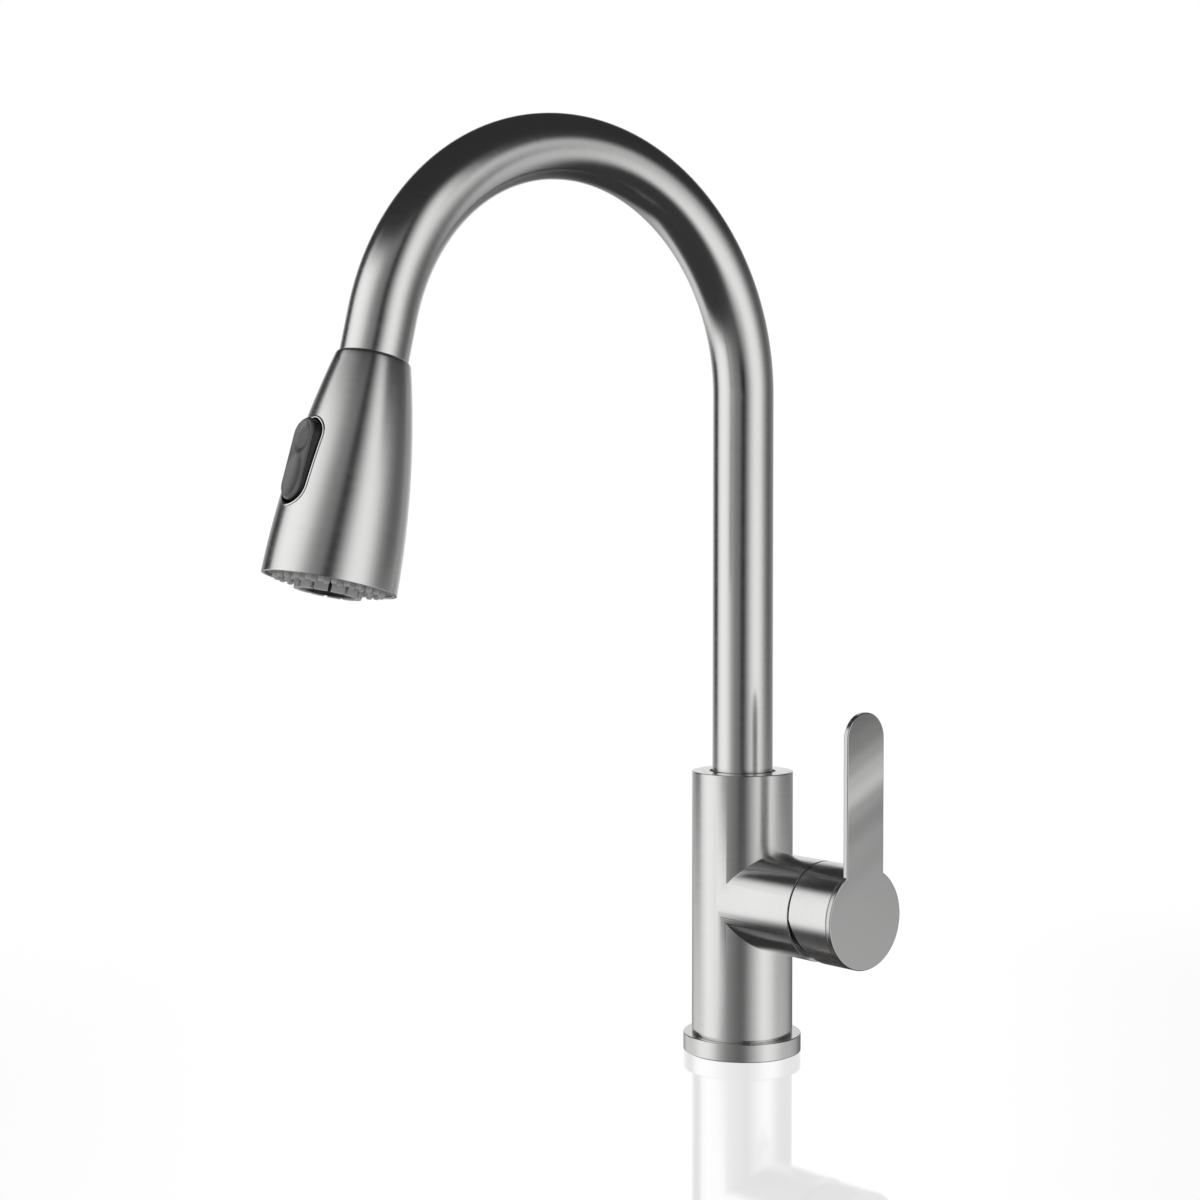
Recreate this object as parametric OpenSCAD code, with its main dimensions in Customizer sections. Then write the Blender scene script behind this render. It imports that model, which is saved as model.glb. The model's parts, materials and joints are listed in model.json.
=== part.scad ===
// Deck-mounted single-lever kitchen faucet with a pull-down spray head.
// Millimetres. The column's axis is Z, the deck plane is z = 0, the spout reaches
// towards -Y and the lever's axis points along +X.

/* [Spout] */
// Outside diameter of the gooseneck tube
tube_d = 28; // [27:0.5:28.5]
// Wall thickness of the gooseneck tube
tube_wall = 1.2; // [1:0.1:1.4]
// Centreline radius of the gooseneck
arc_r = 101.8; // [92:0.2:112]
// Height of the gooseneck's arc centre above the deck
arc_z = 305; // [280:1:330]
// Angle swept by the gooseneck, from the upright leg to the outlet
arc_sweep = 166.6; // [162:0.2:172]
// Straight length between the gooseneck and the spray head
tip_len = 18.2; // [17:0.2:26]

/* [Body] */
// Outside diameter of the upright body
body_d = 46.9; // [46:0.1:49]
// Height of the top of the body above the deck
body_top = 130.6; // [128:0.2:150]
// Outside diameter of the base ring
ring_d = 54.8; // [53:0.2:60]
// Height of the base ring
ring_h = 8.3; // [7:0.1:8.4]
// Height of the lever's axis above the deck
handle_z = 71.8; // [71:0.1:73]
// Outside diameter of the side housing and of the lever's hub
housing_d = 45.3; // [45:0.1:46.4]
// Distance from the column's axis to the end of the side housing
housing_x = 51.7; // [51.5:0.1:52]

/* [Handle] */
// Gap between the side housing and the hub
hub_gap = 0.7; // [0.6:0.05:0.9]
// Distance from the column's axis to the front face of the lever
face_x = 77.4; // [76.5:0.1:80]
// Width of the lever
lever_w = 23.4; // [16:0.2:28]
// Height of the lever's tip above the deck
lever_top = 162.8; // [120:0.2:190]
// Thickness of the lever plate
lever_t = 2.5; // [2:0.1:3]
// Relief angle under the hub, which lets the lever lift
relief_angle = 18; // [17:0.5:22]

/* [Spray head] */
// Length of the spray head's shell
head_len = 92.6; // [92:0.2:96]
// Diameter of the shell where it meets the spout
head_top_d = 30.1; // [29.6:0.1:31]
// Diameter of the shell at the spray face
head_end_d = 54.1; // [54:0.1:56]
// Outward bulge of the shell's side at mid length
head_bulge = 2.75; // [2.5:0.05:3]
// Wall thickness of the shell
shell_wall = 1.6; // [1.4:0.1:1.8]
// Spray nozzles in the outer and the inner ring
nozzle_counts = [26, 20]; // [12:1:28]

/* [Below the deck] */
// Diameter of the threaded shank
shank_d = 33; // [32.6:0.1:33.2]
// Length of the shank below the deck
shank_len = 62; // [60:1:75]
// Thickness of the deck that is clamped
deck_t = 30; // [24:1:34]
// Diameter of the pull-out hose
hose_d = 11.5; // [11:0.1:11.6]

/* [Hidden] */
$fn = 96;

tube_r = tube_d / 2;
body_r = body_d / 2;
body_bore_r = body_r - 2.45;
ring_r = ring_d / 2;
housing_r = housing_d / 2;
housing_bore_r = 20;
hose_r = hose_d / 2;
slack = 0.1;            // clearance between pieces that are fixed together
running = 0.05;         // radial clearance of a running fit
chamfer = 0.5;
cut = 1;                // how far a cutting solid runs past a face
join_step = 0.01;       // step in radius where a curved length meets a straight one

// Gooseneck: where the arc ends, and where the tube meets the spray head
arc_end_y = -arc_r + arc_r * cos(arc_sweep);
arc_end_z = arc_z + arc_r * sin(arc_sweep);
tilt = 180 - arc_sweep;
seam_y = arc_end_y - tip_len * sin(tilt);
seam_z = arc_end_z - tip_len * cos(tilt);

// Swivel at the top of the body
tube_bottom = 92;
top_wall = 4;
bushing_r = tube_r + 1.35;
insert_bore_r = tube_r + 2.2;
insert_bottom = 100;
hose_split_z = 112;     // the hose is on the swivel's axis here

// Waterways through the shank: x and y of each, seen from above
hose_x = -8.5;
port_x = 2.5;
port_y = 9.5;
outlet_x = 9.5;
port_r = 4.46;
port_depth = 10;
block_bottom = 42;
passage_r = 3;
hot_cold_drop = 5.8;    // the hot and cold passages lie this far below the lever's axis
outlet_rise = 8;        // the mixed passage lies this far above it
pipe_r = 4;
coupling_z = -84;       // where the pipe and the hose meet their couplings

// Shank and base
shank_r = shank_d / 2;
shank_bore_r = 14.6;
flange_top = 17;
thread_top = -20;
thread_pitch = 1.5;
thread_depth = 0.8;
washer_r = 27;

// Cartridge: distances from the column's axis along +X
seat_x = 24;
disc_x = 27;
pivot_x = 43;
cartridge_end = 44;
stem_end = 73;
stem_w = 7;
ball_x = 35;
ball_r = 2;
rotor_neck_r = 8.9;
dome_r = 21.8;
dome_end = 59;
hub_x = housing_x + hub_gap;
plate_x = face_x - lever_t;
screw_x = 69;
screw_r = 2.4;

// Spray head: distances from the seam along the head's axis
seam_gap = 0.3;
nose_top = -12;
nose_r = 11.3;
collar_r = 12;
core_top = 7.1;
core_r = 10.5;
flare_top = 78;
flare_end = 84;
plate_top = 88;
plate_end = 91.8;
jet_rings = [21.3, 16.5];
jet_tip = 94.0;
jet_r = 1.25;
aerator_r = 9.4;
aerator_end = 96.2;

// Rocker button: place and size on the head
button_s = 48.2;        // its pivot, from the seam along the head
button_axis_y = 17;     // and from the head's axis, forwards
button_face_y = 25.9;
button_tilt = 3.2;
button_len = 33.6;
button_w = 14;
bezel_len = 36.4;
bezel_w = 16.1;
button_back_y = 14;
pin_r = 1;
spool_s = 38;
spool_r = 2.5;

metal = [0.62, 0.61, 0.60];
brass = [0.78, 0.62, 0.32];
dark = [0.12, 0.12, 0.13];
rubber = [0.08, 0.08, 0.08];
ceramic = [0.92, 0.91, 0.88];
plastic = [0.75, 0.76, 0.77];
hose_grey = [0.28, 0.28, 0.29];

// A solid turned about Z from a list of [radius, height] points
module turned(points) {
    rotate_extrude() polygon(points);
}

// A ring about Z, from height a to height b
module ring(outer, inner, a, b) {
    turned([[inner, a], [outer, a], [outer, b], [inner, b]]);
}

// A disc about Z, from height a to height b, with chamfers of c at its two edges
module disc(r, a, b, c = 0) {
    turned([[0, a], [r - c, a], [r, a + c], [r, b - c], [r - c, b], [0, b]]);
}

// A flat outline with two round ends, its length along Y
module stadium(len, w) {
    square([w, len - w], center = true);
    for (side = [-1, 1])
        translate([0, side * (len - w) / 2])
            circle(d = w);
}

// Places a child's Z axis on the lever's axis, pointing out of the side housing
module at_valve() {
    translate([0, 0, handle_z]) rotate([0, 90, 0]) children();
}

// Places a child's Z axis on the spray head's axis, with z = 0 at the seam and +Y forwards
module at_head() {
    translate([0, seam_y, seam_z]) rotate([arc_sweep, 0, 0]) children();
}

// Places a child at the start of the gooseneck, with its +X towards the outlet
module at_gooseneck() {
    translate([0, 0, arc_z]) rotate([0, 0, -90]) children();
}

// Places a child on the rocker's pivot, with +Y through its face and +Z along the head
module at_button() {
    at_head()
        translate([0, button_axis_y, button_s])
            rotate([-button_tilt, 0, 0])
                children();
}

// ---- Base and deck clamp ----

module base_ring() {
    recess_h = 1.9;
    color(metal)
        difference() {
            disc(ring_r, 0, ring_h, 0.4);
            translate([0, 0, -cut]) cylinder(r = shank_r + 0.3, h = ring_h + 2 * cut);
            ring(ring_r - 1.8, shank_r + 1.4, -cut, recess_h);
        }
}

module base_gasket() {
    color(rubber) ring(ring_r - 1.9, shank_r + 1.5, 0, 1.8);
}

module shank() {
    threads = floor((thread_top + shank_len - 1) / thread_pitch);
    tooth = [for (i = [0:threads - 1], k = [0:3])
        [shank_r - (k == 1 ? thread_depth : 0),
         thread_top - i * thread_pitch - [0.15, 0.6, 1.05, 1.35][k]]];
    color(brass)
        turned(concat(
            [[shank_bore_r, flange_top], [body_bore_r - slack, flange_top],
             [body_bore_r - slack, ring_h + slack / 2], [shank_r, ring_h + slack / 2]],
            tooth,
            [[shank_r - 1, -shank_len], [shank_bore_r, -shank_len]]));
}

module rubber_washer() {
    color(rubber) ring(washer_r, shank_r + 0.4, -deck_t - 3, -deck_t);
}

module steel_washer() {
    color(metal) ring(washer_r, shank_r + 0.3, -deck_t - 4.6, -deck_t - 3.02);
}

module mounting_nut() {
    top = -deck_t - 4.7;
    color(brass)
        difference() {
            union() {
                translate([0, 0, top - 10]) cylinder(r = 24, h = 8, $fn = 6);
                disc(25.5, top - 3, top);
            }
            translate([0, 0, top - 12]) cylinder(r = shank_r + running, h = 14);
            for (side = [-1, 1])
                translate([side * 20.6, 0, top - 12]) cylinder(r = 2.1, h = 14);
        }
}

module clamp_screws() {
    top = -deck_t - 4.7;
    color(metal)
        for (side = [-1, 1])
            translate([side * 20.6, 0, 0])
                difference() {
                    turned([[0, top - 0.05], [2, top - 0.05], [2, top - 15],
                            [3.4, top - 15.3], [3.4, top - 18], [0, top - 18]]);
                    translate([0, 0, top - 19]) cylinder(r = 1.8, h = 2.6, $fn = 6);
                }
}

// ---- Body and waterways ----

module body() {
    color(metal)
        difference() {
            union() {
                disc(body_r, ring_h, body_top, chamfer);
                at_valve() disc(housing_r, 0, housing_x, 0.35);
            }
            translate([0, 0, ring_h - cut])
                cylinder(r = body_bore_r, h = body_top - top_wall - ring_h + cut);
            translate([0, 0, body_top - top_wall - cut])
                cylinder(r = bushing_r + running, h = top_wall + 2 * cut);
            at_valve() cylinder(r = housing_bore_r, h = housing_x + cut);
        }
}

module valve_block() {
    edge_x = -1.6;
    side = 2 * body_bore_r;
    color(brass)
        difference() {
            union() {
                at_valve() translate([0, 0, 4])
                    cylinder(r = housing_bore_r - slack, h = seat_x - 4);
                intersection() {
                    translate([0, 0, block_bottom])
                        cylinder(r = body_bore_r - slack, h = handle_z - block_bottom);
                    translate([edge_x, -side / 2, block_bottom - cut])
                        cube([side, side, side]);
                }
            }
            for (y = [-port_y, port_y]) {
                translate([port_x, y, block_bottom - cut])
                    cylinder(r = port_r, h = port_depth + cut);
                translate([port_x, y, block_bottom])
                    cylinder(r = passage_r, h = handle_z - hot_cold_drop - block_bottom);
                translate([port_x, y, handle_z - hot_cold_drop]) rotate([0, 90, 0])
                    cylinder(r = passage_r, h = seat_x);
            }
            translate([outlet_x, 0, block_bottom - cut])
                cylinder(r = port_r, h = port_depth + cut);
            translate([outlet_x, 0, block_bottom])
                cylinder(r = passage_r, h = handle_z + outlet_rise - block_bottom);
            translate([outlet_x, 0, handle_z + outlet_rise]) rotate([0, 90, 0])
                cylinder(r = passage_r, h = seat_x);
        }
}

module outlet_pipe() {
    color(metal)
        translate([outlet_x, 0, 0])
            turned([[passage_r, coupling_z - 5], [pipe_r, coupling_z - 5],
                    [pipe_r, block_bottom - 3], [5.2, block_bottom - 3],
                    [5.2, block_bottom - slack], [port_r - slack, block_bottom - slack],
                    [port_r - slack, block_bottom + port_depth - 1],
                    [passage_r, block_bottom + port_depth - 1]]);
}

module outlet_nipple() {
    color(brass)
        translate([outlet_x, 0, coupling_z])
            turned([[pipe_r + running, 0], [7, 0], [7, -5.4], [6.4, -6], [5, -6],
                    [5, -15.8], [3.9, -15.8], [3.9, -18], [5, -18], [5, -19.5],
                    [4.5, -20], [passage_r, -20], [passage_r, -5.2],
                    [pipe_r + running, -5.2]]);
}

module nipple_o_ring() {
    color(rubber)
        translate([outlet_x, 0, coupling_z - 16.9])
            rotate_extrude() translate([4.45, 0]) circle(0.52, $fn = 24);
}

// A rod of round section along a route of [x, z] points in the XZ plane
module swept_xz(route, r, sides = 12) {
    last = len(route) - 1;
    along = [for (i = [0:last])
        let (d = route[min(i + 1, last)] - route[max(i - 1, 0)]) d / norm(d)];
    points = [for (i = [0:last], k = [0:sides - 1])
        let (side = r * cos(360 * k / sides))
        [route[i].x + side * along[i].y, r * sin(360 * k / sides),
         route[i].y - side * along[i].x]];
    faces = [for (i = [0:last - 1], k = [0:sides - 1])
        let (next = (k + 1) % sides, a = i * sides, b = a + sides)
        [a + k, b + k, b + next, a + next]];
    polyhedron(points, concat(faces,
        [[for (k = [0:sides - 1]) k],
         [for (k = [sides - 1:-1:0]) last * sides + k]]));
}

// The pull-out hose from its coupling up to the swivel's axis, with one S-bend
module hose_lower() {
    bend_from = 68;
    bend_to = hose_split_z - 2;
    steps = 12;
    s_bend = [for (i = [0:steps]) let (t = i / steps)
        [hose_x * (1 + cos(180 * t)) / 2, bend_from + (bend_to - bend_from) * t]];
    color(hose_grey)
        swept_xz(concat([[hose_x, coupling_z - 6]], s_bend, [[0, hose_split_z]]), hose_r);
}

module hose_coupler() {
    color(dark)
        translate([hose_x, 0, coupling_z])
            turned([[hose_r + running, 0], [6.9, 0], [7.4, -1], [7.4, -15], [8, -15.5],
                    [8, -19], [7.4, -19.5], [7.4, -22], [5.2, -22], [5.2, -8],
                    [4, -8], [4, -6.2], [hose_r + running, -6.2]]);
}

// ---- Cartridge ----

// The three passages that reach the cartridge's base
module passages(r, a, b) {
    for (y = [-port_y, port_y])
        translate([hot_cold_drop, y, a]) cylinder(r = r, h = b - a);
    translate([-outlet_rise, 0, a]) cylinder(r = r, h = b - a);
}

module cartridge_housing() {
    color(dark)
        at_valve()
            difference() {
                turned([[0, seat_x + 0.6], [17.4, seat_x + 0.6], [17.4, cartridge_end],
                        [11, cartridge_end], [11, cartridge_end + 3], [9, cartridge_end + 3],
                        [9, 41], [15.3, 41], [15.3, disc_x], [0, disc_x]]);
                passages(passage_r, seat_x - cut, disc_x + cut);
            }
}

module port_seals() {
    color(rubber)
        at_valve()
            difference() {
                passages(passage_r + 1.4, seat_x + 0.03, seat_x + 0.57);
                passages(passage_r, seat_x - cut, seat_x + cut);
            }
}

module fixed_disc() {
    color(ceramic)
        at_valve()
            difference() {
                disc(15.2, disc_x + 0.05, disc_x + 3);
                passages(passage_r, disc_x - cut, disc_x + 3 + cut);
            }
}

module retaining_nut() {
    color(brass)
        at_valve()
            difference() {
                ring(housing_bore_r - slack, 11.3, cartridge_end + 0.05, 50.4);
                for (turn = [0:60:300])
                    rotate([0, 0, turn])
                        translate([15.5, 0, 47.5]) cylinder(r = 2, h = 4);
            }
}

module dome_cap() {
    color(dark)
        at_valve()
            difference() {
                intersection() {
                    translate([0, 0, pivot_x]) sphere(dome_r, $fn = 96);
                    disc(housing_bore_r - slack, 50.5, dome_end);
                }
                translate([0, 0, 49]) cylinder(r = 10.5, h = 12);
            }
}

module cartridge_rotor() {
    color(plastic)
        at_valve()
            difference() {
                turned([[0, 36.1], [15.2, 36.1], [15.2, 38.5], [rotor_neck_r, 38.5],
                        [rotor_neck_r, 48.5], [0, 48.5]]);
                translate([-6.3, -stem_w / 2 - 0.15, 35]) cube([12.6, stem_w + 0.3, 15]);
                translate([0, 0, pivot_x]) rotate([90, 0, 0])
                    cylinder(r = 1.3, h = 30, center = true);
            }
}

module stem_pin() {
    color(metal)
        at_valve() translate([0, 0, pivot_x]) rotate([90, 0, 0])
            cylinder(r = 1.25, h = 15, center = true);
}

module moving_disc() {
    color(ceramic)
        at_valve()
            difference() {
                disc(11.5, disc_x + 3.05, 32.5);
                translate([0, 0, disc_x + 2]) cylinder(r = 8, h = 2.2);
            }
}

module disc_carrier() {
    color(plastic)
        at_valve()
            difference() {
                disc(12.5, 32.55, 36);
                translate([-2.3, -2.3, 32]) cube([4.6, 4.6, 5]);
            }
}

// ---- Handle ----

module cartridge_stem() {
    color(metal)
        at_valve()
            difference() {
                union() {
                    translate([0, 0, ball_x]) sphere(ball_r, $fn = 48);
                    translate([0, 0, ball_x]) cylinder(r = 1.4, h = 4.5);
                    translate([-stem_w / 2, -stem_w / 2, 39])
                        cube([stem_w, stem_w, stem_end - 39]);
                }
                translate([0, 0, pivot_x]) rotate([90, 0, 0])
                    cylinder(r = 1.3, h = 20, center = true);
            }
}

module handle_hub() {
    socket = stem_w / 2 + 0.05;
    relief = 60;
    color(metal)
        difference() {
            at_valve() disc(housing_r, hub_x, plate_x);
            translate([pivot_x, 0, handle_z]) sphere(dome_r + 0.5, $fn = 96);
            translate([pivot_x, -socket, handle_z - socket])
                cube([stem_end - pivot_x + 0.3, 2 * socket, 2 * socket]);
            translate([hub_x, 0, handle_z]) rotate([0, -relief_angle, 0])
                translate([-relief, -relief / 2, -relief]) cube([relief, relief, relief]);
            translate([screw_x, 0, handle_z - housing_r - cut])
                cylinder(r = screw_r + running, h = housing_r);
        }
}

// One flat plate: a disc on the hub with the lever rising from it
module lever_plate() {
    tip_r = lever_w / 2;
    color(metal)
        translate([plate_x, 0, handle_z])
            rotate([90, 0, 90])
                linear_extrude(lever_t) {
                    circle(housing_r);
                    translate([-tip_r, 0])
                        square([lever_w, lever_top - handle_z - tip_r]);
                    translate([0, lever_top - handle_z - tip_r]) circle(tip_r);
                }
}

module set_screw() {
    tip = handle_z - stem_w / 2 - 0.1;
    color(metal)
        translate([screw_x, 0, 0])
            difference() {
                turned([[0, tip], [screw_r - 0.8, tip], [screw_r, tip - 0.8],
                        [screw_r, tip - 10], [0, tip - 10]]);
                translate([0, 0, tip - 11]) cylinder(r = 1.45, h = 4, $fn = 6);
            }
}

module screw_plug() {
    bottom = handle_z - housing_r + 0.3;
    color(plastic)
        translate([screw_x, 0, 0])
            turned([[0, bottom], [screw_r - 0.4, bottom], [screw_r, bottom + 0.4],
                    [screw_r, bottom + 5], [0, bottom + 5]]);
}

// ---- Swivel ----

module top_bushing() {
    color(dark)
        turned([[tube_r + running, body_top - 6.6], [bushing_r + 2.2, body_top - 6.6],
                [bushing_r + 2.2, body_top - top_wall - slack / 2],
                [bushing_r, body_top - top_wall - slack / 2],
                [bushing_r, body_top - 0.5], [tube_r + running, body_top - 0.5]]);
}

module swivel_insert() {
    color(brass)
        ring(body_bore_r - slack, insert_bore_r, insert_bottom, body_top - 6.7);
}

module swivel_o_rings() {
    color(rubber)
        for (z = [112, 117])
            translate([0, 0, z])
                rotate_extrude()
                    translate([(tube_r + insert_bore_r) / 2, 0]) circle(1.03, $fn = 24);
}

module lower_bushing() {
    color(dark)
        ring(insert_bore_r - running, tube_r + running, insert_bottom, insert_bottom + 8);
}

// ---- Spout ----

module hollow(r, h) {
    difference() {
        cylinder(r = r, h = h);
        translate([0, 0, -cut]) cylinder(r = r - tube_wall, h = h + 2 * cut);
    }
}

// The gooseneck's arc, cut off square where the straight tip begins
module gooseneck() {
    overrun = 1;
    difference() {
        at_gooseneck() translate([arc_r, 0, 0]) rotate([90, 0, 180])
            rotate_extrude(angle = arc_sweep + overrun)
                translate([arc_r, 0])
                    children();
        at_head() translate([-tube_d, -tube_d, -tip_len]) cube(2 * tube_d);
    }
}

module spout_tube() {
    color(metal) {
        translate([0, 0, tube_bottom]) hollow(tube_r, arc_z - tube_bottom);
        gooseneck()
            difference() {
                circle(tube_r - join_step);
                circle(tube_r - tube_wall + join_step);
            }
        at_head() translate([0, 0, -tip_len]) hollow(tube_r, tip_len);
    }
}

module spout_collar() {
    color(brass) ring(19, tube_r + 0.02, 94, insert_bottom - 0.5);
}

module snap_ring() {
    color(metal)
        difference() {
            ring(tube_r + 1.6, tube_r + 0.02, 92.4, 93.9);
            translate([0, -2, 92]) cube([20, 4, 3]);
        }
}

module docking_sleeve() {
    color(dark)
        at_head()
            turned([[nose_r + 0.35, -14], [tube_r - tube_wall - running, -14],
                    [tube_r - tube_wall - running, -0.2], [nose_r + 0.8, -0.2],
                    [nose_r + 0.35, -1.2]]);
}

module hose_upper() {
    color(hose_grey) {
        translate([0, 0, hose_split_z]) cylinder(r = hose_r, h = arc_z - hose_split_z);
        gooseneck() circle(hose_r - join_step);
        at_head() translate([0, 0, -tip_len]) cylinder(r = hose_r, h = 1);
    }
}

// ---- Spray head ----

// The stretch of hose that runs out of the spout with the spray head
module hose_end() {
    color(hose_grey)
        at_head() translate([0, 0, 1 - tip_len])
            cylinder(r = hose_r, h = tip_len - 1 + nose_top + 4);
}

module hose_ferrule() {
    color(metal) at_head() turned([[hose_r + running, -11.6], [6.2, -11.6], [6.2, -1.1],
        [4, -1.1], [4, -7.9], [hose_r + running, -7.9]]);
}

module hose_connector() {
    color(brass)
        at_head()
            turned([[4, -1], [7.9, -1], [7.9, 14], [4, 14]]);
}

module head_collar() {
    color(dark)
        at_head()
            turned([[6.5, nose_top], [nose_r - 1.2, nose_top], [nose_r, nose_top + 1.4],
                    [nose_r, seam_gap], [collar_r, seam_gap], [collar_r, 3.6],
                    [13.2, 3.6], [13.2, core_top - slack], [8.2, core_top - slack],
                    [8.2, -2], [6.5, -2]]);
}

// Outside radius of the shell at distance s from the seam
function shell_r(s) =
    let (u = s / head_len)
    head_top_d / 2 + (head_end_d - head_top_d) / 2 * u + 4 * head_bulge * u * (1 - u);

// Points down the shell's side, moved out by grow, from s = a to s = b
function shell_side(a, b, grow = 0, steps = 20) =
    [for (i = [0:steps]) let (s = a + (b - a) * i / steps) [shell_r(s) + grow, s]];

module head_shell() {
    edge = 0.9;
    color(metal)
        at_head()
            difference() {
                turned(concat(
                    [[collar_r + slack, seam_gap],
                     [shell_r(seam_gap) - edge, seam_gap],
                     [shell_r(seam_gap) - 0.25, seam_gap + 0.28]],
                    shell_side(seam_gap + edge, head_len - 0.4),
                    [[shell_r(head_len) - 0.5, head_len],
                     [shell_r(head_len) - shell_wall, head_len]],
                    shell_side(head_len - 0.5, 3.5, -shell_wall),
                    [[collar_r + slack, 3.5]]));
                translate([0, 10, button_s]) rotate([-90, 0, 0])
                    linear_extrude(30) stadium(bezel_len + 0.3, bezel_w + 0.3);
            }
}

module head_core() {
    color(plastic)
        at_head()
            difference() {
                turned([[0, 22.1], [5.6, 22.1], [5.6, 14.2], [8, 14.2], [8, core_top],
                        [12.5, core_top], [12.5, 20], [core_r, 21], [core_r, flare_top],
                        [23, flare_top + 2], [23, flare_end], [0, flare_end]]);
                translate([0, 0, 21]) cylinder(r = 3, h = 56);
                translate([0, 0, spool_s]) rotate([-90, 0, 0])
                    cylinder(r = spool_r + running, h = 20);
            }
}

module check_valve() {
    color(plastic)
        at_head() difference() {
            disc(5.5, 14.3, 22);
            translate([0, 0, 13]) cylinder(r = 2.5, h = 5);
        }
}

module diverter_spool() {
    color(brass)
        at_head() translate([0, 0, spool_s]) rotate([-90, 0, 0])
            turned([[0, 4.5], [spool_r, 4.5], [spool_r, 6], [1.7, 6], [1.7, 7.4],
                    [spool_r, 7.4], [spool_r, 11.6], [1.6, 12.4], [0, 12.4]]);
}

module spool_o_ring() {
    color(rubber)
        at_head() translate([0, 0, spool_s]) rotate([-90, 0, 0]) translate([0, 0, 6.7])
            rotate_extrude() translate([2.1, 0]) circle(0.38, $fn = 24);
}

module button_bezel() {
    color(dark)
        difference() {
            at_head()
                intersection() {
                    translate([0, button_back_y - 2, button_s]) rotate([-90, 0, 0])
                        linear_extrude(20)
                            difference() {
                                stadium(bezel_len, bezel_w);
                                stadium(button_len + 2, button_w + 0.6);
                            }
                    turned(concat([[0, 20]], shell_side(20, 76, 0.25), [[0, 76]]));
                }
            at_button() rotate([0, 90, 0]) cylinder(r = pin_r + running, h = 30, center = true);
        }
}

module button_pin() {
    color(metal) at_button() rotate([0, 90, 0])
        cylinder(r = pin_r, h = bezel_w - 0.4, center = true);
}

module spray_button() {
    face = button_face_y - button_axis_y;
    back = button_back_y - button_axis_y;
    color(dark)
        at_button()
            difference() {
                rotate([-90, 0, 0]) {
                    translate([0, 0, back]) linear_extrude(face - 0.6 - back)
                        stadium(button_len, button_w);
                    translate([0, 0, face - 0.6]) linear_extrude(0.6)
                        stadium(button_len - 1.2, button_w - 1.2);
                }
                rotate([0, 90, 0]) cylinder(r = pin_r + running, h = 30, center = true);
                translate([0, face + 16.2, -9.2]) sphere(17, $fn = 64);
                translate([0, face + 39.2, 7]) sphere(40, $fn = 64);
            }
}

// Places a child at every nozzle
module at_nozzles() {
    for (ring_i = [0, 1], i = [0:nozzle_counts[ring_i] - 1])
        rotate([0, 0, 360 * i / nozzle_counts[ring_i]])
            translate([jet_rings[ring_i], 0, 0])
                children();
}

module nozzle_mat() {
    color(plastic)
        at_head() {
            ring(24.4, 12.2, plate_top - 2, plate_top - 0.05);
            at_nozzles()
                turned([[0, plate_top - 1], [jet_r, plate_top - 1], [jet_r, plate_end + 0.8],
                        [jet_r - 0.35, jet_tip], [0, jet_tip]]);
        }
}

module face_plate() {
    notches = 12;
    color(plastic)
        at_head()
            difference() {
                union() {
                    ring(25.2, aerator_r + 0.1, plate_top, plate_end);
                    ring(13.4, 11.2, plate_end - 1, plate_end + 4.4);
                }
                at_nozzles() translate([0, 0, plate_top - cut])
                    cylinder(r = jet_r + 0.1, h = 6, $fn = 24);
                for (i = [0:notches - 1])
                    rotate([0, 0, 360 * i / notches])
                        translate([9.5, -0.7, plate_end]) cube([5, 1.4, 6]);
            }
}

module aerator_housing() {
    color(dark)
        at_head()
            turned([[3, flare_end + 0.1], [aerator_r, flare_end + 0.1],
                    [aerator_r, aerator_end - 0.6], [aerator_r - 0.6, aerator_end],
                    [7.8, aerator_end], [7.8, aerator_end - 4], [3, aerator_end - 4]]);
}

module aerator_screen() {
    bars = 7;
    color(metal)
        at_head()
            difference() {
                disc(7.7, aerator_end - 2.4, aerator_end - 1.4);
                for (i = [-bars:2:bars], j = [-bars:2:bars])
                    if (norm([i, j]) < bars)
                        translate([i * 0.95, j * 0.95, aerator_end - 3])
                            cylinder(r = 0.62, h = 3, $fn = 4);
            }
}

base_ring();
base_gasket();
body();
shank();
rubber_washer();
steel_washer();
mounting_nut();
clamp_screws();
valve_block();
outlet_pipe();
outlet_nipple();
nipple_o_ring();
hose_lower();
hose_coupler();
cartridge_housing();
port_seals();
fixed_disc();
retaining_nut();
dome_cap();
top_bushing();
swivel_insert();
swivel_o_rings();
lower_bushing();
cartridge_rotor();
stem_pin();
moving_disc();
disc_carrier();
cartridge_stem();
handle_hub();
lever_plate();
set_screw();
screw_plug();
spout_tube();
spout_collar();
snap_ring();
docking_sleeve();
hose_upper();
hose_end();
hose_ferrule();
hose_connector();
head_collar();
head_shell();
head_core();
check_valve();
button_bezel();
button_pin();
spray_button();
diverter_spool();
spool_o_ring();
nozzle_mat();
face_plate();
aerator_housing();
aerator_screen();
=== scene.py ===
"""Looks for a pull-down kitchen faucet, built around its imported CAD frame.

Profiles and outlines are in millimetres, as [radius, height] or [x, z] points in the frame of
the thing they belong to. A place is a matrix that takes them to the shared frame, in metres.
"""

import json
import math

import bmesh
import bpy
from mathutils import Matrix, Vector


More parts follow.
